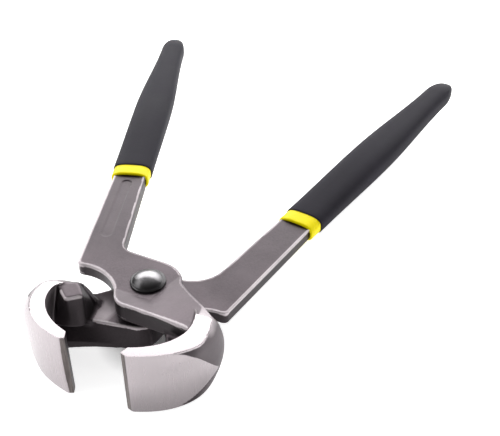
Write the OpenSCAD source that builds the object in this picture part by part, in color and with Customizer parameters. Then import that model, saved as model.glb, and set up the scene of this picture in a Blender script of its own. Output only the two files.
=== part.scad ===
// End cutting nippers, 250 mm: two drop-forged levers lapped on one domed rivet,
// each with a C-shaped jaw across its end and a dipped two-tone grip on its tang.
// The rivet's axis is Z, the lap is the plane z = 0, and the jaws point along -Y.
// Every outline is drawn for the upper lever with the jaws shut: handle at -X, jaw at +X.

/* [Joint] */
// Angle between the two levers as the tool lies open
open_angle = 27.6; // [0:0.2:36]
// Height of each lever's outer face above the lap
plate_t = 6.2; // [5.6:0.1:7.5]
// Depth by which the lapped faces are relieved outside the joint boss
lap_relief = 1.1; // [0.8:0.05:1.6]
// Gap between the two lapped bosses
lap_gap = 0.04; // [0.02:0.01:0.1]
// Radius of the round eye of each lever
eye_r = 11.9; // [11:0.1:13]
// Radius of the rivet's shank
pin_r = 4; // [3:0.1:5]
// Radial clearance of the rivet in each bore
pin_clear = 0.04; // [0.02:0.01:0.1]
// Radius of the rivet's two domed heads
rivet_head_r = 6.3; // [5.6:0.1:7.5]
// Height of each domed head
rivet_head_h = 2.8; // [2:0.1:3.6]
// Gap under each rivet head
head_gap = 0.04; // [0.02:0.01:0.1]

/* [Jaws] */
// Width of the cutting edges, along the rivet's axis
jaw_w = 25; // [22:0.5:28]
// Distance from the rivet's axis to the cutting edges
edge_reach = 40.3; // [39.8:0.1:40.9]
// Distance from the rivet's axis to the ground end face
end_reach = 41.6; // [41.2:0.1:42.4]
// Distance from the rivet's axis to the widest place of the head
belly_reach = 26; // [25:0.2:27]
// Width across both jaws along the rim, shut
head_w = 51.4; // [50:0.2:54]
// Swell of the forged flank beyond the rim, halfway across the jaw
flank_swell = 3.6; // [2:0.1:4.2]
// Half width of the curve to which the end face is ground
grind_half = 30.3; // [29.6:0.1:31]
// Distance from the rivet's axis to the centre of that curve
grind_reach = 20; // [19:0.2:21]
// Depth ground off the forging's end
grind_cut = 0.2; // [0.1:0.05:0.5]
// Half width of the hollow between the jaws, shut
hollow_half = 20; // [19:0.1:21]
// Distance from the rivet's axis to the hollow's centre
hollow_reach = 24; // [23.4:0.1:24.6]
// Depth of the hollow in front of its centre
hollow_depth = 14; // [13:0.1:14.6]
// Width of the bevel outside the cutting edge
bevel_out = 1.4; // [1:0.1:2]
// Width of the bevel inside the cutting edge
bevel_in = 1.6; // [1.2:0.1:2.4]
// Gap left at each cutting edge when the jaws are shut
edge_gap = 0.03; // [0.01:0.01:0.1]
// Distance from the widest place back to the end of the ground rim
rim_back = 5.5; // [4.5:0.1:6.5]
// Distance from the widest place back to the shoulder's end, at the lap
shoulder_back = 15; // [13.5:0.1:16.5]
// Radius swept clear on the lap side for the other lever's eye
sweep_r = 19.5; // [18.6:0.1:20]
// Lean of the swept flank away from the rivet's axis
sweep_lean = 18.5; // [14:0.5:20]
// Drop of the heel's flat top below the rim
heel_drop = 0.6; // [0.4:0.1:1.5]
// Drop below the rim of the web that rises from the arm to the jaw
web_drop = 1.1; // [0.8:0.1:2]

/* [Levers] */
// Distance of the shank's outer edge from the middle plane, shut
shank_out = 27.3; // [26.6:0.1:28.4]
// Width of the shank at the collar
shank_w = 12.9; // [12:0.1:14]
// Gain of the shank's width down to its inner corner
shank_gain = 1.7; // [0.8:0.1:2.2]
// Sideways place of the bay that the other jaw's shoulder swings into
bay_x = 27.5; // [26.8:0.1:28.2]
// Distance of the bay's centre in front of the rivet's axis
bay_y = 10; // [9:0.1:10.6]
// Length of the rounding at the shoulder lobe
lobe_run = 2; // [1.2:0.1:3]
// Distance from the rivet's axis to the arm's front edge
front_reach = 15.7; // [15:0.1:16.6]
// Gain of the arm's thickness from the rivet's seat to its front edge
front_gain = 2.3; // [1:0.1:3]
// Distance from the rivet's axis at which the arm starts to thicken
ramp_reach = 7.8; // [7.6:0.1:9]
// Slope of the arm's front edge
front_slope = 19.3; // [18:0.1:21]
// Height of the shank's inner corner beside the rivet
crotch_y = 17.5; // [16.5:0.1:19]
// Slope of the eye's edge that runs up to the inner corner
crotch_slope = 21; // [18:0.5:24]
// Reach of the rounding at the upper lever's inner corner
upper_crotch_run = 4; // [3:0.1:9]
// Reach of the rounding at the lower lever's inner corner
lower_crotch_run = 9.6; // [4:0.1:10.5]
// Length of the fluted panel along the shank's outer face
panel_l = 36; // [30:0.5:38]
// Width of the fluted panel
panel_w = 4.8; // [4:0.1:6]
// Depth of the fluted panel
panel_d = 0.5; // [0.3:0.05:0.8]
// Distance of the panel's end from the grip's collar
panel_end_gap = 3; // [2:0.1:6]

/* [Grips] */
// Distance from the rivet's axis to the grip's tip, shut
handle_reach = 208.4; // [200:0.5:220]
// Distance from the rivet's axis to the collar
collar_reach = 65; // [62:0.1:68]
// Length of collar that shows
collar_l = 6.5; // [4:0.1:9]
// Wall of the collar around the tang
collar_wall = 1.35; // [1:0.05:1.6]
// Step from the collar out to the grip
grip_step = 0.4; // [0.2:0.05:0.8]
// Gain of the grip's half width from its mouth to its middle
grip_swell = 0.3; // [0.1:0.1:1]
// Gain of the grip's half thickness from its mouth to its middle
grip_plump = 1.4; // [0.6:0.1:2]
// Half width of the grip where its tip begins
tip_half_w = 6; // [5.4:0.1:7]
// Half thickness of the grip where its tip begins
tip_half_t = 4.9; // [4.4:0.1:5.6]
// Length of the rounded tip
tip_l = 15; // [12:0.5:20]
// Distance of the grip's tip from the middle plane, shut
tip_out = 26; // [25:0.1:28]
// Height of the grip's tip above the lap
tip_rise = 1; // [0.4:0.1:2]
// Clearance of the grip and collar around the tang
tang_clear = 0.05; // [0.02:0.01:0.1]
// Length of solid grip beyond the tang's end
tang_stop = 12; // [10:0.5:20]

/* [Hidden] */

steel = "#77706f";
rivet_steel = "#5f5b5c";
black_vinyl = "#45434a";
yellow_vinyl = "#f2e600";

// Facets of round bores and heads, and points along arcs and grip sections
round_fn = 64;
arc_n = 12;
oval_n = 24;
section_n = 28;
station_n = 22;

half_w = jaw_w / 2;
rim_half = head_w / 2;
rim_depth = end_reach - belly_reach + grind_cut;
// One overrun serves every cut
overrun = jaw_w / 5;
far = head_w;
bay_r = norm([bay_x, bay_y]) - eye_r;
bay_turn = atan2(bay_y, bay_x);
shank_in = shank_out - shank_w;
corner_in = shank_in - shank_gain;
shank_mid = [-shank_out + shank_w / 2, (plate_t + lap_relief) / 2];
shank_t = plate_t - lap_relief;

// Places along the knuckle and neck, as shares of the rim's half width and the hollow's reach
knuckle_shares = [[1.082, -0.875], [1.058, -0.646], [0.817, -0.5625]];
neck_share = [0.62, -0.30];
root_share = [0.34, -0.83];
// Corners of the heel: its flat top and its foot, as the same shares
heel_top_shares = [[0.786, -0.91], [0.595, -0.76], [0.342, -0.917], [0.486, -1.125], [0.673, -0.975]];
heel_foot_shares = [[0.944, -0.66], [0.673, -0.40], [0.315, -0.80], [0.358, -1.09], [0.521, -1.25],
                    [0.782, -1.16]];
// Corners of the web: beside the eye, on the arm's front edge and at the rim, as the same shares
web_eye_shares = [[0.35, -0.5], [0.545, -0.183], [0.66, -0.35]];
web_front_shares = [[0.22, -0.70], [0.241, -0.779], [0.27, -0.70]];
web_rim_shares = [[0.77, -0.637], [0.708, -1.09], [0.80, -1.09], [0.91, -0.858]];
// Heights of the forged jaw's sections, as shares of its half width
rise_shares = [0, 0.35, 0.65, 0.88, 1];
// Place along the grip where it is fullest
swell_share = 0.4;

// Powers of the squared ovals: forged jaw, ground end, grip section and grip tip
forged_power = 2.4;
ground_power = 2.25;
grip_power = 3;
tip_power = 2;

// Tang's end as shares of the shank's width and thickness
tang_end_shares = [0.5, 0.8];

function arc(centre, radius, a0, a1) =
    [for (i = [0 : arc_n]) let (a = a0 + (a1 - a0) * i / arc_n) centre + radius * [cos(a), sin(a)]];

function bend(a, b, c) =
    [for (i = [0 : arc_n]) let (s = i / arc_n) (1 - s) * (1 - s) * a + 2 * s * (1 - s) * b + s * s * c];

function signed_pow(v, power) = sign(v) * pow(abs(v), power);

function oval_point(half, power, a) =
    [half[0] * signed_pow(cos(a), 2 / power), half[1] * signed_pow(sin(a), 2 / power)];

// Right half of an oval that reaches front before its centre and back behind it
function half_oval(half_x, front, back, power) =
    [for (i = [0 : oval_n])
        let (a = -90 + 180 * i / oval_n)
        oval_point([half_x, a < 0 ? front : back], power, a)];

function ease(s) = (1 - cos(180 * s)) / 2;

function but_first(points) = [for (i = [1 : len(points) - 1]) points[i]];

function on_head(share) = [share[0] * rim_half, share[1] * hollow_reach];

// Cam-shaped corner that grows from the eye out to the arm's front edge
function cam() =
    let (a0 = 180 + bay_turn, a1 = 270 - front_slope)
    [for (i = [0 : arc_n])
        let (s = i / arc_n, a = a0 + (a1 - a0) * s, r = eye_r + (front_reach - eye_r) * ease(s))
        r * [cos(a), sin(a)]];

// Where the arm's front edge runs into the jaw's wall
function front_end() =
    let (foot = front_reach * [-sin(front_slope), -cos(front_slope)], x_end = (hollow_half + rim_half) / 2)
    foot + (x_end - foot[0]) * [1, -tan(front_slope)];

// Outline of one lever's arm and shank
function arm_outline(crotch_run) =
    let (corner = [-corner_in, crotch_y],
         bay = [-bay_x, -bay_y],
         lobe_turn = 90 - lobe_run / bay_r * 90,
         along = [cos(crotch_slope), -sin(crotch_slope)],
         up = [shank_in - corner_in, collar_reach - crotch_y] / norm([shank_gain, collar_reach - crotch_y]),
         knuckle = [for (share = knuckle_shares) on_head(share)])
    concat(
        [[-shank_out, collar_reach]],
        bend([-shank_out, bay_r - bay_y + lobe_run], [-shank_out, bay_r - bay_y],
             bay + bay_r * [cos(lobe_turn), sin(lobe_turn)]),
        but_first(arc(bay, bay_r, lobe_turn, bay_turn)),
        but_first(cam()),
        [front_end()],
        bend(knuckle[0], knuckle[1], knuckle[2]),
        but_first(bend(knuckle[2], on_head(neck_share), eye_r * [1, 0])),
        but_first(arc([0, 0], eye_r, 0, 90 - crotch_slope)),
        bend(corner + crotch_run * along, corner, corner + crotch_run * [-up[0], up[1]]),
        [[-shank_in, collar_reach]]);

// Side view across the arm's front edge: flat at the rivet, then thicker towards the edge
module arm_side() {
    slope = front_gain / (front_reach - ramp_reach);
    rotate([0, 0, -front_slope])
        rotate([90, 0, 90])
            translate([0, 0, -far])
                linear_extrude(height = 3 * far)
                    polygon([[-far, lap_relief], [handle_reach, lap_relief], [handle_reach, plate_t],
                             [-ramp_reach, plate_t], [-far, plate_t + slope * (far - ramp_reach)]]);
}

// Arm, eye and shank as one plate, with the raised boss around the rivet
module arm(crotch_run) {
    intersection() {
        linear_extrude(height = half_w)
            polygon(arm_outline(crotch_run));
        arm_side();
    }
    translate([0, 0, lap_gap / 2])
        cylinder(h = plate_t - lap_gap, r = eye_r - lap_relief / 2, $fn = round_fn);
}

// Part of the plan that belongs to one jaw: the bevels at its edge, knuckle and neck
module jaw_plan() {
    edge = [edge_gap, -edge_reach];
    fall = [bevel_out, edge_reach - end_reach];
    polygon(concat(
        [edge, edge + 3 * fall, [far, edge[1] + 3 * fall[1]], [far, knuckle_shares[0][1] * hollow_reach]],
        bend(on_head(knuckle_shares[0]), on_head(knuckle_shares[1]), on_head(knuckle_shares[2])),
        [on_head(neck_share), on_head(root_share), [edge_gap + bevel_in, -hollow_reach],
         [edge_gap + bevel_in, -hollow_reach - hollow_depth]]));
}

// Forged jaw: sections that swell towards the parting plane, with a rounded shoulder behind
module forged_jaw() {
    hull()
        for (side = [-1, 1], share = rise_shares) {
            swell = flank_swell * (1 - share);
            back = rim_back + (shoulder_back - rim_back) * sqrt(1 - share * share);
            translate([0, -belly_reach, side * share * half_w - (side + 1) / 2 * edge_gap])
                linear_extrude(height = edge_gap)
                    polygon(half_oval(rim_half + swell, rim_depth, back, forged_power));
        }
}

// C-shaped jaw: forged flanks, ground end face, bevelled edge and elliptical hollow
module jaw() {
    difference() {
        intersection() {
            forged_jaw();
            translate([0, -grind_reach, -half_w])
                linear_extrude(height = jaw_w)
                    polygon(half_oval(grind_half, end_reach - grind_reach, grind_reach, ground_power));
            translate([0, 0, -half_w])
                linear_extrude(height = jaw_w)
                    jaw_plan();
        }
        translate([0, -hollow_reach, -half_w - overrun])
            linear_extrude(height = jaw_w + 2 * overrun)
                scale([1, hollow_depth / hollow_half])
                    circle(r = hollow_half, $fn = 4 * oval_n);
    }
}

// Heel on the lap side, at the root of the jaw
module heel() {
    top = [for (share = heel_top_shares) on_head(share)];
    foot = [for (share = heel_foot_shares) on_head(share)];
    hull() {
        translate([0, 0, heel_drop - half_w])
            linear_extrude(height = lap_relief)
                polygon(top);
        translate([0, 0, lap_relief])
            linear_extrude(height = lap_relief)
                polygon(foot);
    }
}

// Web that rises from the arm's outer face to just below the rim
module web() {
    translate([0, 0, lap_relief])
        hull() {
            linear_extrude(height = shank_t)
                polygon([for (share = web_eye_shares) on_head(share)]);
            linear_extrude(height = shank_t + front_gain)
                polygon([for (share = web_front_shares) on_head(share)]);
            linear_extrude(height = half_w - web_drop - lap_relief)
                polygon([for (share = web_rim_shares) on_head(share)]);
        }
}

// Room on the lap side for the other lever's eye, with a leaning flank
module sweep_room() {
    depth = half_w + lap_relief;
    translate([0, 0, lap_relief - depth - overrun])
        cylinder(h = depth + overrun, r1 = sweep_r + (depth + overrun) * tan(sweep_lean), r2 = sweep_r,
                 $fn = 2 * round_fn);
}

// Middle of the handle's section at distance y from the rivet's axis
function handle_mid(y) =
    let (s = (y - collar_reach) / (handle_reach - collar_reach))
    [shank_mid[0] - s * (tip_out + shank_mid[0]), y, shank_mid[1] + s * (tip_rise - shank_mid[1])];

// Tang under the grip, a bar that tapers to its end
module tang(clear) {
    slice = lap_relief;
    end_y = handle_reach - tang_stop + clear;
    half = [shank_w / 2 + clear, shank_t / 2 + clear];
    end_half = [shank_w / 2 * tang_end_shares[0] + clear, shank_t / 2 * tang_end_shares[1] + clear];
    hull() {
        translate(handle_mid(collar_reach) - [half[0], slice, half[1]])
            cube([2 * half[0], slice, 2 * half[1]]);
        translate(handle_mid(end_y) - [end_half[0], slice, end_half[1]])
            cube([2 * end_half[0], slice, 2 * end_half[1]]);
    }
}

// Fluted panel in the shank's outer face
module panel() {
    end_y = collar_reach - panel_end_gap - panel_w / 2;
    translate([shank_mid[0], 0, plate_t - panel_d])
        linear_extrude(height = panel_d + overrun) {
            for (y = [end_y, end_y - panel_l + panel_w])
                translate([0, y])
                    circle(d = panel_w, $fn = round_fn / 2);
            translate([-panel_w / 2, end_y - panel_l + panel_w])
                square([panel_w, panel_l - panel_w]);
        }
}

// One whole lever, drawn shut as the upper one
module lever(crotch_run) {
    difference() {
        union() {
            difference() {
                union() {
                    jaw();
                    heel();
                }
                sweep_room();
            }
            web();
            arm(crotch_run);
            tang(0);
        }
        translate([0, 0, -overrun])
            cylinder(h = plate_t + 2 * overrun, r = pin_r + pin_clear, $fn = round_fn);
        panel();
    }
}

// Half width and half thickness of the collar
collar_half = [shank_w / 2 + collar_wall, shank_t / 2 + collar_wall];

// Half width and half thickness of the grip at share s of its length
function grip_half(s) =
    let (mouth = collar_half + [grip_step, grip_step],
         s_tip = 1 - tip_l / (handle_reach - collar_reach - collar_l),
         peak = mouth + [grip_swell, grip_plump],
         tip = [tip_half_w, tip_half_t],
         rise = ease(min(1, s / swell_share)),
         fall = ease(max(0, (s - swell_share) / (s_tip - swell_share))),
         body = s < swell_share ? mouth + rise * (peak - mouth) : peak + min(1, fall) * (tip - peak),
         u = max(0, (s - s_tip) / (1 - s_tip)))
    s < s_tip ? body : tip * pow(max(0, 1 - pow(u, tip_power)), 1 / tip_power);

// One section of the grip, as points around a squared oval
function grip_section(y, half) =
    let (mid = handle_mid(y))
    [for (i = [0 : section_n - 1])
        let (p = oval_point(half, grip_power, 360 * i / section_n)) mid + [p[0], 0, p[1]]];

// A closed solid through a list of sections
module skin(sections) {
    n = len(sections[0]);
    rows = len(sections);
    points = [for (ring = sections) each ring];
    sides = [for (r = [0 : rows - 2], i = [0 : n - 1])
        let (j = (i + 1) % n, a = r * n + i, b = r * n + j, c = b + n, d = a + n)
        each [[a, b, c], [a, c, d]]];
    first = [for (i = [0 : n - 1]) n - 1 - i];
    last = [for (i = [0 : n - 1]) (rows - 1) * n + i];
    polyhedron(points, concat(sides, [first, last]), convexity = 4);
}

// Black grip: a moulded sleeve, closed at its rounded tip
module grip() {
    y0 = collar_reach + collar_l;
    length = handle_reach - y0;
    last_share = 0.9995;
    shares = [for (i = [0 : station_n]) last_share * sin(90 * i / station_n)];
    difference() {
        skin([for (s = shares) grip_section(y0 + s * length, grip_half(s))]);
        tang(tang_clear);
    }
}

// Yellow collar: the first dip, showing below the grip's mouth
module collar() {
    difference() {
        skin([for (y = [collar_reach, collar_reach + collar_l]) grip_section(y, collar_half)]);
        tang(tang_clear);
    }
}

// Domed rivet with a head on each side
module rivet() {
    seat = plate_t + head_gap;
    dome_r = (rivet_head_r * rivet_head_r + rivet_head_h * rivet_head_h) / (2 * rivet_head_h);
    color(rivet_steel) {
        translate([0, 0, -seat])
            cylinder(h = 2 * seat, r = pin_r, $fn = round_fn);
        for (side = [0, 1])
            mirror([0, 0, side])
                intersection() {
                    translate([0, 0, seat + rivet_head_h - dome_r])
                        sphere(r = dome_r, $fn = round_fn);
                    translate([0, 0, seat])
                        cylinder(h = rivet_head_h, r = rivet_head_r, $fn = round_fn);
                }
    }
}

// The upper lever opens one way and the lower one, turned over, the other way
module upper_side() {
    rotate([0, 0, open_angle / 2])
        children();
}

module lower_side() {
    rotate([0, 180, 0])
        upper_side()
            children();
}

module upper_lever() {
    color(steel) upper_side() lever(upper_crotch_run);
}

module lower_lever() {
    color(steel) lower_side() lever(lower_crotch_run);
}

module upper_grip() {
    color(black_vinyl) upper_side() grip();
}

module lower_grip() {
    color(black_vinyl) lower_side() grip();
}

module upper_grip_collar() {
    color(yellow_vinyl) upper_side() collar();
}

module lower_grip_collar() {
    color(yellow_vinyl) lower_side() collar();
}

upper_lever();
lower_lever();
rivet();
upper_grip();
lower_grip();
upper_grip_collar();
lower_grip_collar();
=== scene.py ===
"""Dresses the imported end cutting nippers: levers, rivet, dipped grips, finishes and stage."""
import math

import bpy
import numpy as np
from mathutils import Matrix, Vector


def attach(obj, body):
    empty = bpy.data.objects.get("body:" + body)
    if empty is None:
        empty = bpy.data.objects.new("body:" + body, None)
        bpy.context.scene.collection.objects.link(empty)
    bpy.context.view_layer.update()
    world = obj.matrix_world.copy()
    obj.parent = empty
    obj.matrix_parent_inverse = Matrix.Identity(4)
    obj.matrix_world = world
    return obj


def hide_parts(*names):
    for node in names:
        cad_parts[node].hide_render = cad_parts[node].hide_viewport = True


bl_info = {
    "name": "End cutting nippers",
    "version": (1, 0, 0),
    "blender": (4, 5, 0),
    "location": "3D View > Sidebar > Nippers",
    "description": "Builds the visible pieces of a pair of end cutting nippers on their packed frame",
    "category": "Add Mesh",
}

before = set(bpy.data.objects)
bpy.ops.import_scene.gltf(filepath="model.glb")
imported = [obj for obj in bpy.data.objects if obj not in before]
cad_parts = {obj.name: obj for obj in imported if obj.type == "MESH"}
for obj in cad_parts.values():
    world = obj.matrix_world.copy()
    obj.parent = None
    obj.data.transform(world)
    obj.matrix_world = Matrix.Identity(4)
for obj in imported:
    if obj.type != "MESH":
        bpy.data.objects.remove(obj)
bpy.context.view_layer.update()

MM = 0.001
TINY = 1e-9
OPEN_HALF = math.radians(13.8)  # each lever stands this far from shut in the frame's rest pose
SHARP = math.radians(42.0)  # edges steeper than this are drawn sharp


# Settings

class LeverSettings(bpy.types.PropertyGroup):
    """Sizes of the two forgings that show only in the dressed model"""
    grid_step: bpy.props.FloatProperty(
        name="Grid step", default=0.36, min=0.25, max=1.5,
        description="Spacing of the grid on which the forging's formula is worked out, in mm")
    edge_round: bpy.props.FloatProperty(
        name="Edge rounding", description="Width over which the forged plate's edges are rounded, in mm",
        default=0.85, min=0.3, max=2.5)
    fillet: bpy.props.FloatProperty(
        name="Fillet", description="Width of the fillets between arm, heel and jaw, in mm",
        default=2.2, min=0.5, max=4.0)
    steel: bpy.props.FloatVectorProperty(
        name="Forged steel", description="Colour of the dark forged skin", subtype="COLOR",
        default=(0.073, 0.0595, 0.066), min=0.0, max=1.0)
    ground: bpy.props.FloatVectorProperty(
        name="Ground steel", description="Colour of the ground rims, end faces and bevels",
        subtype="COLOR", default=(0.455, 0.412, 0.428), min=0.0, max=1.0)


class RivetSettings(bpy.types.PropertyGroup):
    """Sizes and colour of the rivet"""
    head_radius: bpy.props.FloatProperty(
        name="Head radius", description="Radius of the domed head, in mm", default=6.3, min=5.0, max=8.0)
    head_height: bpy.props.FloatProperty(
        name="Head height", description="Height of the domed head, in mm", default=2.8, min=1.5, max=4.0)
    steel: bpy.props.FloatVectorProperty(
        name="Rivet steel", description="Colour of the rivet", subtype="COLOR",
        default=(0.16, 0.155, 0.16), min=0.0, max=1.0)


class GripSettings(bpy.types.PropertyGroup):
    """Sizes and colours of the dipped grips and collars"""
    swell: bpy.props.FloatProperty(
        name="Swell", description="Gain of the grip's half width from its mouth to its middle, in mm",
        default=0.3, min=0.0, max=1.5)
    plump: bpy.props.FloatProperty(
        name="Plumpness", default=1.3, min=0.0, max=2.5,
        description="Gain of the grip's half thickness from its mouth to its middle, in mm")
    black: bpy.props.FloatVectorProperty(
        name="Grip colour", description="Colour of the black vinyl", subtype="COLOR",
        default=(0.024, 0.022, 0.029), min=0.0, max=1.0)
    yellow: bpy.props.FloatVectorProperty(
        name="Collar colour", description="Colour of the yellow vinyl", subtype="COLOR",
        default=(0.93, 0.79, 0.0), min=0.0, max=1.0)


class StageSettings(bpy.types.PropertyGroup):
    """Floor, light and camera"""
    floor: bpy.props.FloatVectorProperty(
        name="Floor colour", description="Colour of the plain floor", subtype="COLOR",
        default=(0.93, 0.93, 0.93), min=0.0, max=1.0)
    ambient: bpy.props.FloatProperty(
        name="Ambient light", description="Strength of the even light from all round",
        default=0.2, min=0.0, max=4.0)
    key: bpy.props.FloatProperty(
        name="Key light", default=4.4, min=0.0, max=20.0,
        description="Radiance of the wide soft box behind, which the side boxes follow")
    glow: bpy.props.FloatProperty(
        name="Floor glow", description="Light that the floor gives off, as a light table does",
        default=0.74, min=0.0, max=2.0)


# Outlines and fields
# All sizes below are millimetres, in the frame of an upper lever that is shut: rivet's axis Z,
# lap plane z = 0, handle towards (-x, +y), jaw towards (+x, -y).

HALF_W = 12.5  # from the parting plane to a rim
PLATE_T = 6.2  # height of the plate's outer face
LAP = 1.1  # height of its inner face, which stands back from the lap plane outside the boss
EYE_R = 11.9
BOSS_R = 11.35
BOSS_TOP = 4.0
BOSS_GAP = 0.02  # from the boss to the lap plane
BOSS_EDGE = 0.3  # a name in _EDGE is the width of the rounding along that form's edges
BORE_R = 4.04
BAY = np.array([-27.5, -10.0])  # centre of the concave bay beside the eye
BAY_R = 29.262 - EYE_R
LOBE_RUN = 2.0  # length of the rounding from the bay into the shank
SHANK_OUT = 27.3
SHANK_IN = 14.4
SHANK_END = 84.0
CORNER_IN = 12.7
CORNER_Y = 17.5
CORNER_SLOPE = math.radians(21.0)
FRONT_REACH = 15.7
FRONT_SLOPE = math.radians(19.3)
RAMP_START = 7.8  # distance ahead of the rivet where the ramp to the front edge begins
WEB_AXIS = (0.849, -0.530)  # direction in which the web rises to the rim
WEB_START = 6.6
WEB_SLOPE = 0.25
WEB_TOP = 5.25
WEB_FRONT = (4.0, -18.2)  # a point on its front wall, and the direction from there into the web
WEB_INWARD = (0.502, 0.865)
WEB_LEAN = 0.45  # how much the wall leans, below the height where it stands upright
WEB_UPRIGHT = 9.0
CAM_ROOM_R = 17.4  # room in the jaw for the other lever's cam
CAM_ROOM_SLOPE = 0.47
CAM_ROOM_GAIN = 4.0
CAM_ROOM_EDGE = 0.8
BAND_BACK = (20.2, -24.0)  # where the jaw's band ends, behind which it lies under the plate
BAND_DEPTH = 2.4
HEEL_DROP = 0.6  # from the rim to the heel's flat top
HEEL_ROOT = 1.9  # height at which it ends inside the plate
HEEL_TOP_R = 0.9  # roundings of its outline's corners
HEEL_FOOT_R = 2.0
HEEL_EDGE = 1.1
HEEL_FILLET = 2.0
EDGE_Y = -40.3
EDGE_GAP = 0.03  # from the cutting edge to the plane between the jaws
BEVEL = (4.9, 3.5)  # run and fall of the bevel outside the cutting edge
FRONT_DEPTH = 41.8  # how far the raw forging reaches ahead, before its end is ground
BACK_Y = -22.5  # end of the forging's back at the rim
BACK_BULGE = 11.5  # how much further it reaches at the parting plane
BACK_POWER = 2.4
END_MIDDLE = -20.0  # y of the end face's middle
HOLLOW_MIDDLE = -24.0
HOLLOW_HALF = (20.0, 14.0)
HOLLOW_EDGE = 0.35
END_EDGE = 0.4
RIM_SINK = 0.01  # how far the dressed rims lie inside the CAD's
PANEL_ENDS = (26.0, 60.0)
PANEL_HALF = 1.95
PANEL_DEPTH = 0.34
PANEL_FADE = (22.0, 20.0)  # y where it begins to deepen, and over what length
PANEL_EDGE = 0.4
GROUND_REACH = 0.34  # distance from a ground face within which the skin counts as ground
BEVEL_REACH = 0.2
END_BACK = -26.0  # y behind which the end face is not ground
# The two jaws are ground by hand and differ. For each lever:
# crotch: length of the rounding in the inner corner
# rim_half, swell: half width of the forging at the rim, and its gain at the parting plane
# middle, shift: y of its widest place at the rim, and its gain at the parting plane
# power, power_gain, power_under: how square its front corner is at the rim, the gain at the
#     parting plane, and the loss on the side that lies on the floor
# end, crown: the end face's half width, half depth and power, and the gains of the first two
# down: the side of z on which the lever lies on the floor
# ramp, draft: slopes of the ramp to the front edge and of the eye's front wall
# knuckle: width of the rounding behind the jaw
# lap_wear_and_highlight: how much the lap face's edges are lightened, by wear and painted highlight
# run_out: x at which the grinding of the end face ends
# painted_end_shade: painted shade on the ground end face, and its gain towards the floor
LEVERS = {
    "upper": {"crotch": 4.0, "rim_half": 25.42, "swell": 3.72, "middle": -24.07, "shift": 1.97,
              "power": 2.81, "power_gain": -1.0, "power_under": 0.66, "end": (30.32, 21.65, 2.19),
              "crown": (0.0, 0.0), "down": -1, "ramp": 0.29, "draft": 0.0, "knuckle": 0.0,
              "lap_wear_and_highlight": 0.1, "run_out": 25.1, "painted_end_shade": (0.12, 0.38)},
    "lower": {"crotch": 9.6, "rim_half": 23.53, "swell": 8.0, "middle": -25.70, "shift": 2.94,
              "power": 2.25, "power_gain": 0.0, "power_under": -0.41, "end": (31.01, 21.45, 2.27),
              "crown": (0.78, 0.25), "down": 1, "ramp": 0.48, "draft": 0.15, "knuckle": 4.0,
              "lap_wear_and_highlight": 1.0, "run_out": 31.0, "painted_end_shade": (0.0, 0.0)}}
GRID_LOW = (-29.0, -43.5, -13.6)  # corners of the box in which a lever's surface is looked for
GRID_HIGH = (33.5, 86.0, 13.6)
HALVINGS = 7  # rounds of halving on each grid edge that the surface crosses
SLOPE_REACH = 0.004  # how far to each side the field is read for its direction
HOLD = 0.05  # how strongly a vertex is held to the mean of its cell's crossings
RIVET_SEAT = 0.04  # gap between the rivet's heads and the plates
RIVET_SHANK_R = 4.0
RIVET_COLUMNS = 96
COLLAR_Y = 65.0  # y of the collar's mouth
HANDLE_X = -20.85  # middle of the handle at the collar
HANDLE_Z = 3.65
TIP_X = -26.0  # middle of the grip's tip
TIP_Y = 208.4
TIP_Z = 1.0
SLEEVE_POWER = 3.0  # how square the section of collar and grip is
SLEEVE_COLUMNS = 64
COLLAR_HALF = (7.8, 3.9)  # half width and half thickness
COLLAR_WALL = 1.3
COLLAR_BODY = 8.5  # length from the mouth to the end of the even part
COLLAR_BACK = 8.6  # distance from the mouth to the thin end inside the grip
COLLAR_ROWS = 8
GRIP_START = 6.5  # distance from the collar's mouth to the grip's
GRIP_STEP = 0.4  # how far the grip's mouth stands out from the collar
GRIP_WALL = 1.0
GRIP_HOLLOW = 12.0  # depth of the open mouth
GRIP_WIDEST = 0.4  # share of the length at which the grip is thickest
GRIP_TIP_HALF = (5.97, 4.87)
GRIP_TIP_ROUND = 15.0  # length over which the tip is rounded off
GRIP_ROWS = 120
BEVEL_DARK = (0.07, 0.054, 0.050, 1.0)  # brown of the bevels, and of the scratches on them
BEVEL_LIGHT = (0.185, 0.152, 0.145, 1.0)
# The stage, in metres unless a name says otherwise
FLOOR_REACH = 40.0
# painted contact shadow: the floor's glow is cut out in a disk under the joint
PAINTED_SHADOW_PLACE = (0.004, -0.006)  # the floor gives no light here, where the levers keep it dark
PAINTED_SHADOW_RADII = (0.007, 0.021)  # where its light begins and where it is full
# each soft box: name, place, size and its share of the key light
BOXES = (("back_box", (-0.2, 1.0, 0.55), (2.2, 0.9), 1.0),
         ("right_box", (1.1, 0.45, 0.34), (0.7, 0.55), 0.7),
         ("left_box", (-0.9, -0.2, 0.75), (0.9, 0.7), 0.7))
CAMERA_AZ = 0.338554  # radians
CAMERA_EL = 0.631694
CAMERA_ROLL = -0.000973
CAMERA_PLACE = (287.333, 35.2928, 27.0295)  # mm back, right and above, along the camera's own axes
FOCAL_PX = 819.75  # focal length as the photograph's pixels measure it
PHOTO_W = 500
SENSOR = 36.0  # mm


def arc(centre, radius, start, end, count=16):
    """Points centre + radius (cos a, sin a) for a from start to end."""
    a = np.linspace(start, end, count)
    return np.asarray(centre) + radius * np.stack([np.cos(a), np.sin(a)], 1)


def bend(a, b, c, count=16):
    """Points (1-s)^2 a + 2s(1-s) b + s^2 c for s from 0 to 1."""
    s = np.linspace(0, 1, count)[:, None]
    return (1 - s) ** 2 * np.asarray(a) + 2 * s * (1 - s) * np.asarray(b) + s ** 2 * np.asarray(c)


def ease(s):
    """(1 - cos(pi s)) / 2, with s kept between 0 and 1."""
    return (1 - np.cos(np.pi * np.clip(s, 0, 1))) / 2


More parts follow.
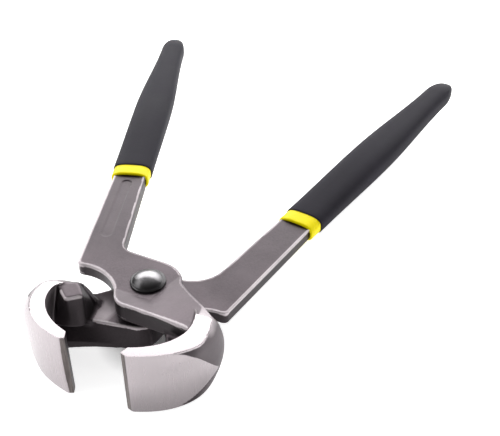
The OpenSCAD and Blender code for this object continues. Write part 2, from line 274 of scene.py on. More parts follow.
def smooth_max(a, b, width):
    """The larger of a and b, plus h^2 width / 4 with h = 1 - |a - b| / width, to round the corner."""
    h = np.clip(1 - np.abs(a - b) / width, 0, None)
    return np.maximum(a, b) + h * h * width / 4


def smooth_min(a, b, width):
    """The smaller of a and b with its corner filled in the same way."""
    return -smooth_max(-a, -b, width)


def outline_distance(points, x, y):
    """Signed distance to a closed outline: the least distance to its sides, negative where a ray
    crosses an odd number of them."""
    best = np.full(np.broadcast(x, y).shape, 1e9)
    inside = np.zeros(best.shape, bool)
    for (ax, ay), (bx, by) in zip(points, np.roll(points, -1, 0)):
        dx, dy = bx - ax, by - ay
        along = np.clip(((x - ax) * dx + (y - ay) * dy) / (dx * dx + dy * dy + TINY), 0, 1)
        best = np.minimum(best, (x - ax - along * dx) ** 2 + (y - ay - along * dy) ** 2)
        if dy:
            inside ^= ((ay > y) != (by > y)) & (x < ax + (y - ay) * dx / dy)
    return np.where(inside, -1, 1) * np.sqrt(best)


def rounded_outline(points, radius, x, y):
    """Largest of the distances to the lines of a convex outline's sides, with smooth maxima at its
    corners."""
    most = -99.0
    for (ax, ay), (bx, by) in zip(points, np.roll(points, -1, 0)):
        across = ((x - ax) * (by - ay) - (y - ay) * (bx - ax)) / math.hypot(bx - ax, by - ay)
        most = smooth_max(most, across, radius)
    return most


def oval_distance(x, y, half_x, half_y, power):
    """First-order distance to a squared oval: g / |grad g| with g = (|x/a|^p + |y/b|^p)^(1/p) - 1."""
    u, v = np.abs(x) / half_x, np.abs(y) / half_y
    total = u ** power + v ** power + TINY
    scale = total ** (1 / power - 1)
    slope = np.hypot(scale * u ** (power - 1) / half_x, scale * v ** (power - 1) / half_y)
    return (total ** (1 / power) - 1) / np.maximum(slope, 0.01)


def arm_outline(crotch_run):
    """Plan of arm, eye and shank: bay, cam, front edge, knuckle, neck, eye and inner corner."""
    turn = math.atan2(-BAY[1], -BAY[0])
    lobe_turn = math.pi / 2 - LOBE_RUN / BAY_R * math.pi / 2
    s = np.linspace(0, 1, 16)
    cam_turn = (math.pi + turn) + (1.5 * math.pi - FRONT_SLOPE - math.pi - turn) * s
    cam_r = EYE_R + (FRONT_REACH - EYE_R) * ease(s)
    cam = cam_r[:, None] * np.stack([np.cos(cam_turn), np.sin(cam_turn)], 1)
    knuckle = bend((24.4, -22.0), (24.2, -18.4), (21.5, -15.2), 10)
    neck = bend((21.5, -15.2), (15.6, -7.6), (EYE_R, 0.0))
    corner = np.array([-CORNER_IN, CORNER_Y])
    along = np.array([math.cos(CORNER_SLOPE), -math.sin(CORNER_SLOPE)])
    up = np.array([CORNER_IN - SHANK_IN, COLLAR_Y - CORNER_Y])
    up /= np.linalg.norm(up)
    return np.concatenate([
        [[-SHANK_OUT, SHANK_END]],
        bend((-SHANK_OUT, BAY_R + BAY[1] + LOBE_RUN), (-SHANK_OUT, BAY_R + BAY[1]),
             BAY + BAY_R * np.array([math.cos(lobe_turn), math.sin(lobe_turn)])),
        arc(BAY, BAY_R, lobe_turn, turn)[1:], cam[1:],
        [[22.0, -24.3]], knuckle, neck[1:],
        arc((0, 0), EYE_R, 0, math.pi / 2 - CORNER_SLOPE)[1:],
        bend(corner + crotch_run * along, corner, corner + crotch_run * up),
        [[-SHANK_IN - 0.4, SHANK_END]]])


def jaw_outline():
    """Plan that belongs to one jaw: the bevels at its edge, knuckle, neck and the hollow's side."""
    return np.concatenate([
        [[EDGE_GAP, EDGE_Y], [EDGE_GAP + BEVEL[0], EDGE_Y - BEVEL[1]], [60.0, EDGE_Y - BEVEL[1]],
         [60.0, -21.0]],
        bend((27.8, -21.0), (27.15, -15.72), (20.9, -13.68)),
        [[15.9, -7.2], [8.7, -19.9], [1.63, -24.0], [1.63, -37.9]]])


WEB_OUTLINE = np.array([[2.0, -15.0], [2.0, -30.0], [21.0, -30.0], [24.2, -21.5], [20.6, -14.6],
                        [13.0, -5.0]])
HEEL_TOP = np.array([[20.4, -21.9], [15.4, -17.9], [14.2, -18.2], [9.0, -21.8], [13.0, -26.7]])
HEEL_FOOT = np.array([[23.4, -16.8], [18.9, -10.0], [14.8, -11.0], [12.4, -12.9], [10.8, -15.9],
                      [9.6, -19.1], [9.3, -23.0], [12.4, -25.8], [16.0, -27.6], [20.1, -27.8]])


def fullness(z):
    """1 at the parting plane and 0 at the rims: 1 - (z / half width)^2."""
    return 1 - np.clip(np.abs(z) / HALF_W, 0, 1) ** 2


def outer_height(x, y, sizes):
    """Height of the outer face: plate, plus the higher of a ramp to the front edge and a slope that
    rises towards the rim and levels off just below it. The rounding between them widens as they
    rise."""
    ahead = -(y * math.cos(FRONT_SLOPE) + x * math.sin(FRONT_SLOPE))
    ramp = sizes["ramp"] * np.clip(ahead - RAMP_START, 0, None)
    along = WEB_AXIS[0] * x + WEB_AXIS[1] * y
    web = smooth_min(WEB_SLOPE * np.clip(along - WEB_START, 0, None), WEB_TOP, 3.0)
    return PLATE_T + smooth_max(ramp, web, np.clip(1.5 * np.maximum(ramp, web), 0.05, 2.4))


def forging(x, y, z, sizes):
    """Jaw as forged: a squared oval that swells towards the parting plane, its back rounded off behind
    the rim. How square its front corner is changes from the rim to the parting plane, and once more
    on the side that lies on the floor."""
    level = fullness(z)
    half_x = sizes["rim_half"] + sizes["swell"] * level ** 0.8
    middle = sizes["middle"] + sizes["shift"] * level
    half_y = np.where(y < middle, FRONT_DEPTH + middle, BACK_Y + BACK_BULGE * np.sqrt(level) - middle)
    under = smooth_max(sizes["down"] * z / HALF_W, 0.0, 0.4)
    corner = sizes["power"] + sizes["power_gain"] * level - sizes["power_under"] * under
    return oval_distance(x, y - middle, half_x, half_y, np.where(y < middle, corner, BACK_POWER))


def end_face(x, y, z, sizes):
    """Squared oval to which the end of the head is ground, crowned towards the parting plane."""
    level = fullness(z)
    half_x, half_y, power = sizes["end"]
    crown_x, crown_y = sizes["crown"]
    oval = oval_distance(x, y - END_MIDDLE, half_x + crown_x * level, half_y + crown_y * level, power)
    return np.where(y < END_MIDDLE, oval, -9.0)


def hollow(x, y):
    """Elliptical hollow between the jaws."""
    return oval_distance(x, y - HOLLOW_MIDDLE, *HOLLOW_HALF, 2.0)


def panel_distance(x, y):
    """Distance outside the long round-ended panel on the shank."""
    return np.hypot(x - HANDLE_X, y - np.clip(y, *PANEL_ENDS)) - PANEL_HALF


def lever_field(x, y, z, sizes, edge_round, fillet):
    """Negative inside one shut lever. Plates are outlines cut by heights, the jaw is its forging less
    the hollow, and rounded maxima and minima join them."""
    radius = np.hypot(x, y)
    # jaw and heel
    knuckle_round = 0.05 + sizes["knuckle"] * ease((x - 25.0) / 3.0) * ease((y + 30.0) / 6.0)
    plan = outline_distance(jaw_outline(), x, y)
    jaw = smooth_max(forging(x, y, z, sizes), plan, knuckle_round)
    jaw = smooth_max(jaw, -hollow(x, y), HOLLOW_EDGE)
    # behind the band's end the forging lies under the plate
    top = outer_height(x, y, sizes)
    behind = np.minimum(BAND_BACK[0] - x, y - BAND_BACK[1])
    jaw = np.maximum(jaw, np.minimum(z - top + BAND_DEPTH, behind))
    rise = np.clip((z + HALF_W - HEEL_DROP) / (LAP + HALF_W - HEEL_DROP), 0, 1) ** 0.8
    heel_top = rounded_outline(HEEL_TOP, HEEL_TOP_R, x, y)
    heel_foot = rounded_outline(HEEL_FOOT, HEEL_FOOT_R, x, y)
    heel = (1 - rise) * heel_top + rise * heel_foot
    heel = smooth_max(heel, np.maximum(HEEL_DROP - HALF_W - z, z - HEEL_ROOT), HEEL_EDGE)
    jaw = smooth_min(jaw, heel, HEEL_FILLET)
    # room for the other lever's cam
    room_r = CAM_ROOM_R + np.minimum(CAM_ROOM_SLOPE * np.clip(LAP - z, 0, None), CAM_ROOM_GAIN)
    jaw = smooth_max(jaw, np.minimum(room_r - radius, LAP - z), CAM_ROOM_EDGE)
    # arm, shank, and the web, whose front wall leans back towards the lap
    lean = WEB_LEAN * np.clip(WEB_UPRIGHT - z, 0, None)
    front = -WEB_INWARD[0] * (x - WEB_FRONT[0]) - WEB_INWARD[1] * (y - WEB_FRONT[1]) + lean
    web = smooth_max(outline_distance(WEB_OUTLINE, x, y), front, 1.0)
    plan = smooth_min(outline_distance(arm_outline(sizes["crotch"]), x, y), web, fillet)
    plan = plan - sizes["draft"] * np.clip(z - LAP, 0, None) * ease(-y / 8.0)
    arm = smooth_max(plan, z - top, edge_round)
    arm = smooth_max(arm, LAP - z, edge_round * 0.5)
    boss = smooth_max(radius - BOSS_R, BOSS_GAP - z, BOSS_EDGE)
    boss = np.maximum(boss, z - BOSS_TOP)
    arm = smooth_min(arm, boss, BOSS_EDGE)
    # fluted panel in the outer face, which runs out towards the joint
    depth = PANEL_DEPTH * ease((y - PANEL_FADE[0]) / PANEL_FADE[1])
    panel = smooth_max(panel_distance(x, y), PLATE_T - depth - z, PANEL_EDGE)
    arm = smooth_max(arm, -panel, PANEL_EDGE)
    whole = smooth_min(jaw, arm, fillet)
    # ground faces, bore
    whole = smooth_max(whole, end_face(x, y, z, sizes), END_EDGE)
    whole = np.maximum(whole, np.abs(z) - HALF_W + RIM_SINK)
    whole = np.maximum(whole, np.where(y < -30, EDGE_GAP - x, -99.0))
    return np.maximum(whole, BORE_R - radius)


def ground_share(x, y, z, sizes):
    """1 on the ground rims and end face, 0 on the forged skin, by the distance to those surfaces. With
    s the height above the parting plane as the tool lies, the grinding of the end face runs out along
    the curve x = run_out - 0.42 s - 7 (1 - sqrt(1 - |s / half width|^5)), less 1.5 for each mm of s
    below -6."""
    rim = np.abs(np.abs(z) - HALF_W)
    s = -sizes["down"] * z
    fall = 7.0 * (1 - np.sqrt(1 - np.clip(np.abs(s) / HALF_W, 0, 1) ** 5))
    fall = fall + 1.5 * np.clip(-s - 6.0, 0, None)
    past = np.clip(x - sizes["run_out"] + 0.42 * s + fall, 0, None) + 9.0 * (y > END_BACK)
    end = np.abs(np.maximum(end_face(x, y, z, sizes), forging(x, y, z, sizes))) + past
    return np.clip(1.5 - np.minimum(rim, end) / GROUND_REACH, 0, 1)


def bevel_share(x, y):
    """1 on the bevel outside the cutting edge."""
    away = np.abs(BEVEL[1] * (x - EDGE_GAP) + BEVEL[0] * (y - EDGE_Y)) / math.hypot(*BEVEL)
    return np.clip(1.5 - away / BEVEL_REACH, 0, 1) * (y < -38)


def painted_shade_share(x, y, z, normals, ground, sizes):
    """Painted shade that darkens the skin: most on the walls, which face sideways, except the jaw's
    flank and hollow, and a little along the shank. On ground steel, painted shade on the end face, which
    grows towards the floor."""
    # painted shade: walls that face sideways, and the shank towards the grips, are darkened
    wall = ease((0.75 - np.abs(normals[:, 2])) / 0.35) * ease((24.0 - x) / 3.0)
    wall = wall * np.clip(np.abs(hollow(x, y)) / 0.6, 0, 1)
    skin = np.maximum(wall, 0.6 * ease((y - 4.0) / 16.0))
    # painted shade on the ground end, growing towards the floor
    painted_end_shade = sizes["painted_end_shade"][0] + sizes["painted_end_shade"][1] * ease((sizes["down"] * z + 2.0) / 13.0)
    return np.where(ground > 0.5, painted_end_shade, skin)


def wear_and_painted_light_share(x, y, z, curve, normals, sizes):
    """How far the skin is lightened, by wear and painted light: wear along convex edges by the mesh's
    bend, with painted highlight that puts far more on edges that face the jaws' side than on those that
    face the grips or the floor, none along the panel, and on the heel only along its top. The lap face
    is lighter, partly as a machined face and partly as painted light where the upper plate shades it;
    the hollow's wall, which lies in shade, gets painted light; the top of the jaw's flank is a little
    lighter."""
    # painted highlight: edges facing the jaws' side are brightened far more than the others
    edge = np.clip((curve - 0.28) / 0.5, 0, 1) * (0.15 + 0.85 * ease(0.45 - 1.3 * normals[:, 1]))
    edge = edge * np.clip(panel_distance(x, y) - 1.0, 0, 1) * np.clip(1.1 + 1.2 * normals[:, 2], 0, 1)
    edge = edge * np.where(np.abs(z - LAP) < 0.9, sizes["lap_wear_and_highlight"], 1.0)
    edge = edge * np.where(sizes["down"] * z > 2.5, 0.15, 1)
    heel = (rounded_outline(HEEL_FOOT, HEEL_FOOT_R, x, y) < 1.2) & (z < 3.0)
    # painted highlight along the heel's top edge, on the side facing the jaws
    crest = np.clip(1.8 * edge, 0, 1) * np.clip(-z - 10.4, 0, 1) * ease(-0.2 - 2.0 * normals[:, 1])
    edge = np.where(heel, crest, edge)
    # lap face: partly its machined finish, partly painted light where the upper plate shades it
    lap = 0.30 * (np.abs(z - LAP) < 0.25) * np.clip((x - 2.0) / 4.0, 0, 1) * (y < -4)
    lap = lap * (np.abs(normals[:, 2]) > 0.5)
    # painted light on the hollow's wall, which lies in shade
    wall = 0.34 * np.clip(1.5 - np.abs(hollow(x, y)) / 0.5, 0, 1) * np.clip((x - 3.0) / 4.0, 0, 1)
    wall = wall * (np.abs(normals[:, 2]) < 0.5)
    flank = 0.6 * np.clip(1 - (HALF_W + sizes["down"] * z) / 4.0, 0, 1)
    flank = flank * ease((y + 34.0) / 8.0) * (x > 21)
    return np.maximum(np.maximum(edge, flank), np.maximum(lap, wall))


def evened(values, quads, rounds):
    """Each vertex's value drawn half way to its neighbours' mean along the quads' sides, several
    times."""
    here, there = quads.ravel(), np.roll(quads, -1, 1).ravel()
    size = len(values)
    count = np.bincount(here, minlength=size) + np.bincount(there, minlength=size)
    for _ in range(rounds):
        total = np.bincount(here, values[there], size) + np.bincount(there, values[here], size)
        values = (values + total / count) / 2
    return values


def level_surface(field, low, high, step):
    """Vertices, quads and bend of field's zero surface. Each grid cell that the surface crosses gets
    one vertex: the point v that makes the sum of (n . (v - p))^2 + HOLD |v - m|^2 least, over its
    crossings p of the cell's edges (found by halving) with the field's directions n there and their
    mean m, which keeps sharp edges sharp. Each grid edge that it crosses gets one quad. Bend is the
    field's Laplacian, which is large along convex edges."""
    axes = [np.arange(a, b + step, step) for a, b in zip(low, high)]
    x, y, z = np.meshgrid(*axes, indexing="ij", sparse=True)
    shape = tuple(len(a) for a in axes)
    f = np.ascontiguousarray(np.broadcast_to(field(x, y, z), shape)).astype(np.float32)
    cells, near, far, starts, quads = [], [], [], [], []
    for axis in range(3):
        e, g = (axis + 1) % 3, (axis + 2) % 3
        first = np.take(f, np.arange(shape[axis] - 1), axis)
        second = np.take(f, np.arange(1, shape[axis]), axis)
        at = np.stack(np.nonzero((first < 0) != (second < 0)), 1)
        at = at[(at[:, e] > 0) & (at[:, g] > 0)
                & (at[:, e] < shape[e] - 1) & (at[:, g] < shape[g] - 1)]
        inside = first[tuple(at.T)] < 0
        near.append(at.astype(float))
        far.append(at + np.eye(3)[axis])
        starts.append(inside)
        ring = []
        for de, dg in ((-1, -1), (0, -1), (0, 0), (-1, 0)):
            cell = at.copy()
            cell[:, e] += de
            cell[:, g] += dg
            ring.append(np.ravel_multi_index(tuple(cell.T), shape))
        ring = np.stack(ring, 1)
        cells.append(ring)
        quads.append(np.where(inside[:, None], ring, ring[:, ::-1]))
    near, far, starts = np.concatenate(near), np.concatenate(far), np.concatenate(starts)
    for _ in range(HALVINGS):
        halfway = (near + far) / 2
        same = ((field(*(halfway * step + np.array(low)).T) < 0) == starts)[:, None]
        near, far = np.where(same, halfway, near), np.where(same, far, halfway)
    spots = (near + far) / 2
    place = spots * step + np.array(low)
    slopes = np.stack([field(*(place + aside).T) - field(*(place - aside).T)
                       for aside in SLOPE_REACH * np.eye(3)], 1)
    slopes /= np.linalg.norm(slopes, axis=1, keepdims=True) + TINY
    ids, inverse = np.unique(np.concatenate(cells).ravel(), return_inverse=True)
    spots, slopes = np.repeat(spots, 4, 0), np.repeat(slopes, 4, 0)
    count = np.bincount(inverse)
    mean = np.stack([np.bincount(inverse, spots[:, k]) / count for k in range(3)], 1)
    ahead = ((spots - mean[inverse]) * slopes).sum(1)
    pull = np.stack([np.bincount(inverse, slopes[:, k] * ahead) for k in range(3)], 1)
    grip = np.stack([np.bincount(inverse, slopes[:, j] * slopes[:, k])
                     for j in range(3) for k in range(3)], 1)
    grip = grip.reshape(-1, 3, 3) + HOLD * np.eye(3)
    move = np.linalg.solve(grip, pull[:, :, None])[:, :, 0]
    corner = np.stack(np.unravel_index(ids, shape), 1)
    index = np.clip(mean + move, corner, corner + 1)
    quads = np.searchsorted(ids, np.concatenate(quads))
    closest = np.clip(np.rint(index).astype(int), 1, np.array(shape) - 2)
    curve = -6 * f[tuple(closest.T)]
    for k in range(3):
        for side in (-1, 1):
            beside = closest.copy()
            beside[:, k] += side
            curve = curve + f[tuple(beside.T)]
    return index * step + np.array(low), quads, curve / step ** 2


# Meshes

def turned(points, lower):
    """Shut-frame points in mm to the rest pose in metres: turned out by half the opening, and for the
    lower lever turned over about Y."""
    c, s = math.cos(OPEN_HALF), math.sin(OPEN_HALF)
    x, y, z = points.T
    out = np.stack([x * c - y * s, x * s + y * c, z], 1)
    if lower:
        out = out * np.array([-1, 1, -1])
    return out * MM


def new_piece(name, points, faces, body, material):
    """A smooth mesh object from an array of points and arrays of faces with equal sides, riding on
    body."""
    mesh = bpy.data.meshes.new(name)
    groups = [f.astype(np.int32) for f in faces]
    corners = np.concatenate([f.ravel() for f in groups])
    sides = np.concatenate([np.full(len(f), f.shape[1]) for f in groups])
    mesh.vertices.add(len(points))
    mesh.vertices.foreach_set("co", points.astype(np.float32).ravel())
    mesh.loops.add(len(corners))
    mesh.loops.foreach_set("vertex_index", corners)
    mesh.polygons.add(len(sides))
    mesh.polygons.foreach_set("loop_start", (np.cumsum(sides) - sides).astype(np.int32))
    mesh.polygons.foreach_set("use_smooth", np.ones(len(sides), bool))
    mesh.update(calc_edges=True)
    mesh.validate()
    mesh.set_sharp_from_angle(angle=SHARP)
    piece = bpy.data.objects.new(name, mesh)
    bpy.context.scene.collection.objects.link(piece)
    mesh.materials.append(material)
    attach(piece, body)
    return piece


def add_attribute(piece, name, values):
    """A value for each vertex that the materials read."""
    attribute = piece.data.attributes.new(name, "FLOAT", "POINT")
    attribute.data.foreach_set("value", values.astype(np.float32))


def tube_faces(rows, columns):
    """Quads of a closed tube of rows rings with columns points each."""
    r, c = np.meshgrid(np.arange(rows - 1), np.arange(columns), indexing="ij")
    after = (c + 1) % columns
    return np.stack([r * columns + c, r * columns + after,
                     (r + 1) * columns + after, (r + 1) * columns + c], -1).reshape(-1, 4)


def fan(columns, ring, pole, flip):
    """Triangles from the ring that starts at point number ring to the point number pole."""
    c = np.arange(columns)
    tris = np.stack([ring + c, ring + (c + 1) % columns, np.full(columns, pole)], 1)
    return tris[:, ::-1] if flip else tris


# Finishes

class Finish:
    """A material under construction: adds nodes and links by short calls."""

    def __init__(self, name):
        self.material = bpy.data.materials.new(name)
        self.material.use_nodes = True
        self.nodes = self.material.node_tree.nodes
        self.links = self.material.node_tree.links
        self.shader = self.nodes["Principled BSDF"]
        self.coords = self.nodes.new("ShaderNodeTexCoord").outputs["Object"]

    def put(self, socket, value):
        """Links an output to the socket, or sets its value."""
        if isinstance(value, bpy.types.NodeSocket):
            self.links.new(value, socket)
        else:
            socket.default_value = value

    def noise(self, scale, detail=3.0, roughness=0.55, stretch=(1, 1, 1)):
        """Noise of scale features a metre, its coordinates stretched by a factor along each axis."""
        mapping = self.nodes.new("ShaderNodeMapping")
        mapping.inputs["Scale"].default_value = stretch
        self.links.new(self.coords, mapping.inputs["Vector"])
        node = self.nodes.new("ShaderNodeTexNoise")
        self.links.new(mapping.outputs["Vector"], node.inputs["Vector"])
        node.inputs["Scale"].default_value = scale
        node.inputs["Detail"].default_value = detail
        node.inputs["Roughness"].default_value = roughness
        return node.outputs["Fac"]

    def attribute(self, name):
        """A value that the mesh carries for each vertex."""
        node = self.nodes.new("ShaderNodeAttribute")
        node.attribute_name = name
        return node.outputs["Fac"]

    def spread(self, value, low, high, to_low=0.0, to_high=1.0):
        """value from low..high to to_low..to_high, kept inside."""
        node = self.nodes.new("ShaderNodeMapRange")
        self.put(node.inputs["Value"], value)
        for name, number in (("From Min", low), ("From Max", high),
                             ("To Min", to_low), ("To Max", to_high)):
            node.inputs[name].default_value = number
        return node.outputs["Result"]

    def math(self, operation, a, b=0.0):
        """One sum, product or power of two values."""
        node = self.nodes.new("ShaderNodeMath")
        node.operation = operation
        self.put(node.inputs[0], a)
        self.put(node.inputs[1], b)
        return node.outputs[0]

    def mix(self, share, a, b):
        """Colour a turning into colour b as share goes from 0 to 1."""
        node = self.nodes.new("ShaderNodeMix")
        node.data_type = "RGBA"
        self.put(node.inputs[0], share)
        self.put(node.inputs[6], a)
        self.put(node.inputs[7], b)
        return node.outputs[2]

    def bump(self, height, distance, strength=1.0, under=None):
        """Relief of the given distance in metres."""
        node = self.nodes.new("ShaderNodeBump")
        node.inputs["Distance"].default_value = distance
        node.inputs["Strength"].default_value = strength
        self.put(node.inputs["Height"], height)
        if under is not None:
            self.links.new(under, node.inputs["Normal"])
        return node.outputs["Normal"]

    def finish(self, **sockets):
        """Sets the shader's sockets by name, with _ for a space, and returns the material."""
        for name, value in sockets.items():
            self.put(self.shader.inputs[name.replace("_", " ")], value)
        return self.material


def rgba(colour, factor=1.0):
    """A colour times a factor, with alpha 1."""
    return tuple(min(1.0, c * factor) for c in colour) + (1.0,)


def forged_steel(settings):
    """Dark oxidised forging whose edges are lightened by wear and painted highlight, with painted shade
    where the mesh's scale value is high, and ground steel where the mesh's ground value is 1."""
    m = Finish("forged_steel")
    ground = m.spread(m.attribute("ground"), 0.45, 0.55)
    edge = m.attribute("edge")
    blotch = m.noise(70, 4)
    grain = m.noise(1400, 4, 0.65)
    skin = m.mix(m.spread(blotch, 0.35, 0.65), rgba(settings.steel, 0.82), rgba(settings.steel, 1.16))
    skin = m.mix(m.spread(grain, 0.35, 0.75, 0, 0.45), skin, rgba(settings.steel, 1.8))
    # painted shade: the scale value darkens the side walls and the shank
    skin = m.mix(m.math("MULTIPLY", m.attribute("scale"), 0.62), skin, rgba(settings.steel, 0.2))
    # edge wear with painted highlight and painted light lightens the skin
    mottled_wear_and_light = m.math("MULTIPLY", edge, m.spread(blotch, 0.25, 0.6, 0.7, 1.0))
    wear_and_painted_light = m.spread(mottled_wear_and_light, 0.15, 0.8, 0, 0.9)
    skin = m.mix(wear_and_painted_light, skin, rgba(settings.ground, 1.7))
    scratches = m.noise(1300, 3, 0.6, (1, 1, 0.08))
    brown = m.mix(m.spread(scratches, 0.35, 0.7), BEVEL_DARK, BEVEL_LIGHT)
    bevel = m.spread(m.attribute("bevel"), 0.45, 0.55)
    skin = m.mix(bevel, skin, brown)
    lines = m.noise(900, 2, 0.5, (1, 1, 0.06))
    bright = m.mix(m.spread(lines, 0.3, 0.7), rgba(settings.ground, 0.985), rgba(settings.ground, 1.015))
    # painted shade: the scale value darkens the ground end towards the floor
    bright = m.mix(m.attribute("scale"), bright, rgba(settings.ground, 0.2))
    rough = m.spread(grain, 0.2, 0.8, 0.34, 0.50)
    rough_ground = m.spread(lines, 0.2, 0.8, 0.262, 0.280)
    skin_metal = m.math("SUBTRACT", 0.78, m.math("MULTIPLY", m.math("MAXIMUM", wear_and_painted_light, bevel), 0.7))
    metal = m.math("MAXIMUM", skin_metal, ground)
    mix = m.nodes.new("ShaderNodeMix")
    m.put(mix.inputs[0], ground)
    m.put(mix.inputs[2], rough)
    m.put(mix.inputs[3], rough_ground)
    relief = m.bump(m.math("MULTIPLY", grain, m.spread(ground, 0, 1, 1.0, 0.04)), 0.00006, 0.6)
    relief = m.bump(m.math("MULTIPLY", blotch, m.spread(ground, 0, 1, 1.0, 0.0)), 0.0004, 0.35, relief)
    return m.finish(Base_Color=m.mix(ground, skin, bright), Metallic=metal, Roughness=mix.outputs[0],
                    Normal=relief)


def rivet_steel(settings):
    """Dark headed steel with a satin skin and faint dents, bright where the mesh's crown value is 1 and
    dark
    where it is 0: a polished crown with a painted highlight, and painted shade towards the rim."""
    m = Finish("rivet_steel")
    grain = m.noise(1500, 3)
    dents = m.noise(260, 2)
    # polished crown with a painted highlight, fading to painted shade at the rim
    colour = m.mix(m.attribute("crown"), rgba(settings.steel, 0.3), rgba(settings.steel, 1.9))
    colour = m.mix(m.spread(dents, 0.35, 0.65, 0, 0.3), colour, rgba(settings.steel, 0.5))
    relief = m.bump(dents, 0.00022, 0.4, m.bump(grain, 0.00002, 0.3))
    return m.finish(Base_Color=colour, Metallic=1.0, Roughness=m.spread(grain, 0.2, 0.8, 0.26, 0.34),
                    Normal=relief)


def black_vinyl(settings):
    """Dipped vinyl: dull black with a fine orange-peel skin and slightly scuffed patches."""
    m = Finish("black_vinyl")
    peel = m.noise(900, 3)
    cloud = m.noise(45, 4)
    colour = m.mix(m.spread(cloud, 0.3, 0.7), rgba(settings.black, 0.85), rgba(settings.black, 1.2))
    relief = m.bump(cloud, 0.0006, 0.3, m.bump(peel, 0.00005, 0.5))
    return m.finish(Base_Color=colour, Roughness=m.spread(cloud, 0.3, 0.7, 0.42, 0.55), Normal=relief,
                    Specular_IOR_Level=0.035)


def yellow_vinyl(settings):
    """Glossier yellow dip with a slightly uneven coat."""
    m = Finish("yellow_vinyl")
    cloud = m.noise(160, 3)
    colour = m.mix(m.spread(cloud, 0.3, 0.7), rgba(settings.yellow, 0.94), rgba(settings.yellow, 1.05))
    return m.finish(Base_Color=colour, Roughness=m.spread(cloud, 0.3, 0.7, 0.28, 0.4),
                    Normal=m.bump(cloud, 0.0003, 0.4), Specular_IOR_Level=0.08)


# Operators

class NIPPERS_OT_levers(bpy.types.Operator):
    """Builds the two forged levers from their formula"""
    bl_idname = "nippers.levers"
    bl_label = "Forged levers"

    def execute(self, context):
        settings = context.scene.nippers_lever
        material = forged_steel(settings)
        for side, sizes in LEVERS.items():
            def field(x, y, z):
                return lever_field(x, y, z, sizes, settings.edge_round, settings.fillet)
            points, quads, curve = level_surface(field, GRID_LOW, GRID_HIGH, settings.grid_step)
            piece = new_piece(f"{side}_lever_forging", turned(points, side == "lower"), [quads], side,
                              material)
            normals = np.empty(points.shape, np.float32)
            piece.data.vertex_normals.foreach_get("vector", normals.ravel())
            ground = ground_share(*points.T, sizes)
            add_attribute(piece, "ground", ground)
            add_attribute(piece, "bevel", bevel_share(points[:, 0], points[:, 1]))
            # the scale value is painted shade
            scale = painted_shade_share(*points.T, normals, ground, sizes)
            add_attribute(piece, "scale", evened(scale, quads, 2))
            # the edge value is wear with painted highlight and painted light
            wear_and_painted_light = wear_and_painted_light_share(*points.T, evened(curve, quads, 3), normals, sizes)
            add_attribute(piece, "edge", evened(wear_and_painted_light, quads, 1))
            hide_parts(f"{side}_lever")
        return {"FINISHED"}


class NIPPERS_OT_rivet(bpy.types.Operator):
    """Builds the rivet with its two domed heads"""
    bl_idname = "nippers.rivet"
    bl_label = "Rivet"

    def execute(self, context):
        settings = context.scene.nippers_rivet
        radius, height = settings.head_radius, settings.head_height
        seat = PLATE_T + RIVET_SEAT
        # profile of one head in shares of its radius and height: a ball's cap, a neck and a flange
        dome_r, dome_h = 0.78 * radius, 0.5 * height
        ball = (dome_r ** 2 + dome_h ** 2) / (2 * dome_h)
        turns = np.linspace(0.02, math.asin(dome_r / ball), 18)
        dome = np.stack([ball * np.sin(turns), seat + height - ball + ball * np.cos(turns)], 1)
        neck = bend(dome[-1], (0.83 * radius, seat + 0.36 * height),
                    (0.9 * radius, seat + 0.33 * height), 6)[1:]
        rim = bend(neck[-1], (radius, seat + 0.28 * height), (radius, seat + 0.12 * height), 7)[1:]
        under = bend(rim[-1], (radius, seat), (radius - 0.3, seat), 5)[1:]
        shank = [[RIVET_SHANK_R + 0.4, seat], [RIVET_SHANK_R, seat]]
        half = np.concatenate([dome, neck, rim, under, shank])
        profile = np.concatenate([half, (half * [1, -1])[::-1]])
        a = np.linspace(0, 2 * math.pi, RIVET_COLUMNS, endpoint=False)
        points = np.stack([profile[:, :1] * np.cos(a), profile[:, :1] * np.sin(a),
                           np.repeat(profile[:, 1:], RIVET_COLUMNS, 1)], -1).reshape(-1, 3)
        end = len(points)
        points = np.concatenate([points, [[0, 0, seat + height], [0, 0, -seat - height]]])
        faces = [tube_faces(len(profile), RIVET_COLUMNS)[:, ::-1],
                 fan(RIVET_COLUMNS, 0, end, False),
                 fan(RIVET_COLUMNS, end - RIVET_COLUMNS, end + 1, True)]
        piece = new_piece("domed_rivet", points * MM, faces, "lower",
                          rivet_steel(settings))
        from_axis = np.hypot(points[:, 0], points[:, 1]) / radius
        # crown: polished crown with a painted highlight, fading to painted shade at the rim
        add_attribute(piece, "crown", ease((0.82 - from_axis) / 0.5))
        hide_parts("rivet")
        return {"FINISHED"}


def handle_middle(y):
    """Middle of the handle's section at y, on the straight line from the collar to the grip's tip."""
    s = (y - COLLAR_Y) / (TIP_Y - COLLAR_Y)
    return np.stack([HANDLE_X + s * (TIP_X - HANDLE_X), y, HANDLE_Z + s * (TIP_Z - HANDLE_Z)], -1)


def sleeve(stations, halves):
    """Rings of points round the handle's middle line: squared ovals of the given half width and half
    thickness."""
    a = np.linspace(0, 2 * math.pi, SLEEVE_COLUMNS, endpoint=False)
    c, s = np.cos(a), np.sin(a)
    x = np.sign(c) * np.abs(c) ** (2 / SLEEVE_POWER)
    z = -np.sign(s) * np.abs(s) ** (2 / SLEEVE_POWER)
    middle = handle_middle(stations)
    points = np.stack([middle[:, :1] + halves[:, :1] * x,
                       np.repeat(middle[:, 1:2], SLEEVE_COLUMNS, 1),
                       middle[:, 2:] + halves[:, 1:] * z], -1)
    return points.reshape(-1, 3)


def lip(y, outer, wall, ahead):
    """Stations and half sizes of a rounded mouth: a half circle from the wall's inside to its
    outside."""
    turn = np.linspace(0, math.pi, 9)
    return y + ahead * wall / 2 * np.sin(turn), outer - wall / 2 * (1 + np.cos(turn))[:, None]


